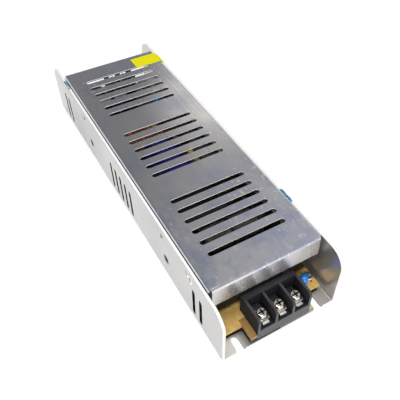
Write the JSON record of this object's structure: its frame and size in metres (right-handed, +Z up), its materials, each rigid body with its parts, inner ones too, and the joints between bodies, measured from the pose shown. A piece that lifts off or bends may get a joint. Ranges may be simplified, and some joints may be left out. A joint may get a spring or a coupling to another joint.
{
  "type": "mesh case switching power supply",
  "caption": "Slim switching power supply in a folded aluminium case with a slotted cover and screw terminal blocks on a circuit board at both ends.",
  "frame": {"origin": "centre of the case's footprint on the underside of its floor", "axes": "+Y along the case towards the two-pole output end, +X across it towards the heat bar, +Z up"},
  "size_m": [0.065, 0.22, 0.0364],
  "materials": {
    "case_sheet": "bright rolled sheet",
    "cover_sheet": "brushed sheet with light scratches",
    "plated_steel": "nickel plated",
    "clamp_plate": "nickel plated, stamped",
    "contact_metal": "tinned brass",
    "circuit_laminate": "bare tan laminate",
    "liner_film": "dark insulating film",
    "block_moulding": "charcoal moulding",
    "bar_stock": "extruded bar",
    "pad_rubber": "soft grey pad",
    "package_moulding": "black moulding compound",
    "spring_strip": "spring steel",
    "fuse_tube": "clear glass",
    "fuse_metal": "nickel plated",
    "clip_metal": "tinned brass",
    "dipped_green": "dark dipped coating",
    "dipped_blue": "blue dipped coating",
    "ferrite": "dark sintered ferrite",
    "winding_form": "black moulding",
    "dark_wire": "dark enamelled wire",
    "potting_black": "black potting",
    "navy_sleeve": "navy printed sleeve",
    "tan_tape": "tan winding tape",
    "powder_core": "yellow coated powder core",
    "copper_wire": "copper enamelled wire",
    "black_sleeve": "black printed sleeve",
    "lamp_lens": "green lens",
    "trimmer_blue": "blue moulding",
    "rotor_white": "ivory moulding",
    "resistor_coat": "tan coating",
    "sticker_yellow": "yellow sticker",
    "blue_film": "torn protective film"
  },
  "bodies": {
    "chassis": {"base_channel": "case_sheet", "top_cover": "cover_sheet", "cover_screws": "plated_steel", "circuit_board": "circuit_laminate", "insulating_sheet": "liner_film", "board_standoffs": "plated_steel", "board_screws": "plated_steel", "input_terminal_housing": "block_moulding", "output_terminal_housing": "block_moulding", "input_contacts": "contact_metal", "output_contacts": "contact_metal", "heat_bar": "bar_stock", "thermal_pads": "pad_rubber", "power_switch_1": "package_moulding", "power_switch_2": "package_moulding", "output_rectifier_1": "package_moulding", "output_rectifier_2": "package_moulding", "clamp_strips": "spring_strip", "strip_screws": "plated_steel", "fuse_glass": "fuse_tube", "fuse_caps": "fuse_metal", "fuse_clips": "clip_metal", "inrush_thermistor": "dipped_green", "line_disc_capacitor": "dipped_blue", "bridging_disc_capacitor": "dipped_blue", "bridge_rectifier": "package_moulding", "choke_core": "ferrite", "choke_bobbin": "winding_form", "choke_windings": "dark_wire", "potted_choke": "potting_black", "bulk_capacitor": "navy_sleeve", "transformer_core": "ferrite", "transformer_bobbin": "winding_form", "transformer_winding": "tan_tape", "inductor_core": "powder_core", "inductor_winding": "copper_wire", "small_capacitors": "black_sleeve", "status_lamp": "lamp_lens", "trimmer_body": "trimmer_blue", "control_chip": "package_moulding", "optocoupler": "package_moulding", "resistors": "resistor_coat", "yellow_sticker": "sticker_yellow", "film_scraps": "blue_film", "output_capacitor_1": "black_sleeve", "output_capacitor_2": "black_sleeve", "output_capacitor_3": "black_sleeve", "output_capacitor_4": "black_sleeve", "output_capacitor_5": "black_sleeve"},
    "input_clamp_1_body": {"input_clamp_1": "clamp_plate"},
    "input_screw_1_body": {"input_screw_1": "plated_steel"},
    "input_clamp_2_body": {"input_clamp_2": "clamp_plate"},
    "input_screw_2_body": {"input_screw_2": "plated_steel"},
    "input_clamp_3_body": {"input_clamp_3": "clamp_plate"},
    "input_screw_3_body": {"input_screw_3": "plated_steel"},
    "output_clamp_1_body": {"output_clamp_1": "clamp_plate"},
    "output_screw_1_body": {"output_screw_1": "plated_steel"},
    "output_clamp_2_body": {"output_clamp_2": "clamp_plate"},
    "output_screw_2_body": {"output_screw_2": "plated_steel"},
    "trimmer_rotor_body": {"trimmer_rotor": "rotor_white"}
  },
  "joints": [
    {"name": "input_clamp_lift_1", "type": "slide", "parent": "chassis", "child": "input_clamp_1_body", "axis": [0, 0, 1], "range_m": [0, 0.003]},
    {"name": "input_screw_turn_1", "type": "hinge", "parent": "input_clamp_1_body", "child": "input_screw_1_body", "pos_m": [0.011, -0.1041, 0.0139], "axis": [0, 0, 1], "continuous": true},
    {"name": "input_clamp_lift_2", "type": "slide", "parent": "chassis", "child": "input_clamp_2_body", "axis": [0, 0, 1], "range_m": [0, 0.003]},
    {"name": "input_screw_turn_2", "type": "hinge", "parent": "input_clamp_2_body", "child": "input_screw_2_body", "pos_m": [0.0015, -0.1041, 0.0139], "axis": [0, 0, 1], "continuous": true},
    {"name": "input_clamp_lift_3", "type": "slide", "parent": "chassis", "child": "input_clamp_3_body", "axis": [0, 0, 1], "range_m": [0, 0.003]},
    {"name": "input_screw_turn_3", "type": "hinge", "parent": "input_clamp_3_body", "child": "input_screw_3_body", "pos_m": [-0.008, -0.1041, 0.0139], "axis": [0, 0, 1], "continuous": true},
    {"name": "output_clamp_lift_1", "type": "slide", "parent": "chassis", "child": "output_clamp_1_body", "axis": [0, 0, 1], "range_m": [0, 0.003]},
    {"name": "output_screw_turn_1", "type": "hinge", "parent": "output_clamp_1_body", "child": "output_screw_1_body", "pos_m": [0.00477, 0.1041, 0.0139], "axis": [0, 0, 1], "continuous": true},
    {"name": "output_clamp_lift_2", "type": "slide", "parent": "chassis", "child": "output_clamp_2_body", "axis": [0, 0, 1], "range_m": [0, 0.003]},
    {"name": "output_screw_turn_2", "type": "hinge", "parent": "output_clamp_2_body", "child": "output_screw_2_body", "pos_m": [0.01303, 0.1041, 0.0139], "axis": [0, 0, 1], "continuous": true},
    {"name": "trimmer_turn", "type": "hinge", "parent": "chassis", "child": "trimmer_rotor_body", "pos_m": [-0.014, 0.0976, 0.0109], "axis": [0, 0, 1], "range_deg": [-140, 140]}
  ],
  "couplings": [
    {"joint": "input_screw_turn_1", "follows": "input_clamp_lift_1", "rad_per_m": 12566},
    {"joint": "input_screw_turn_2", "follows": "input_clamp_lift_2", "rad_per_m": 12566},
    {"joint": "input_screw_turn_3", "follows": "input_clamp_lift_3", "rad_per_m": 12566},
    {"joint": "output_screw_turn_1", "follows": "output_clamp_lift_1", "rad_per_m": 12566},
    {"joint": "output_screw_turn_2", "follows": "output_clamp_lift_2", "rad_per_m": 12566}
  ]
}
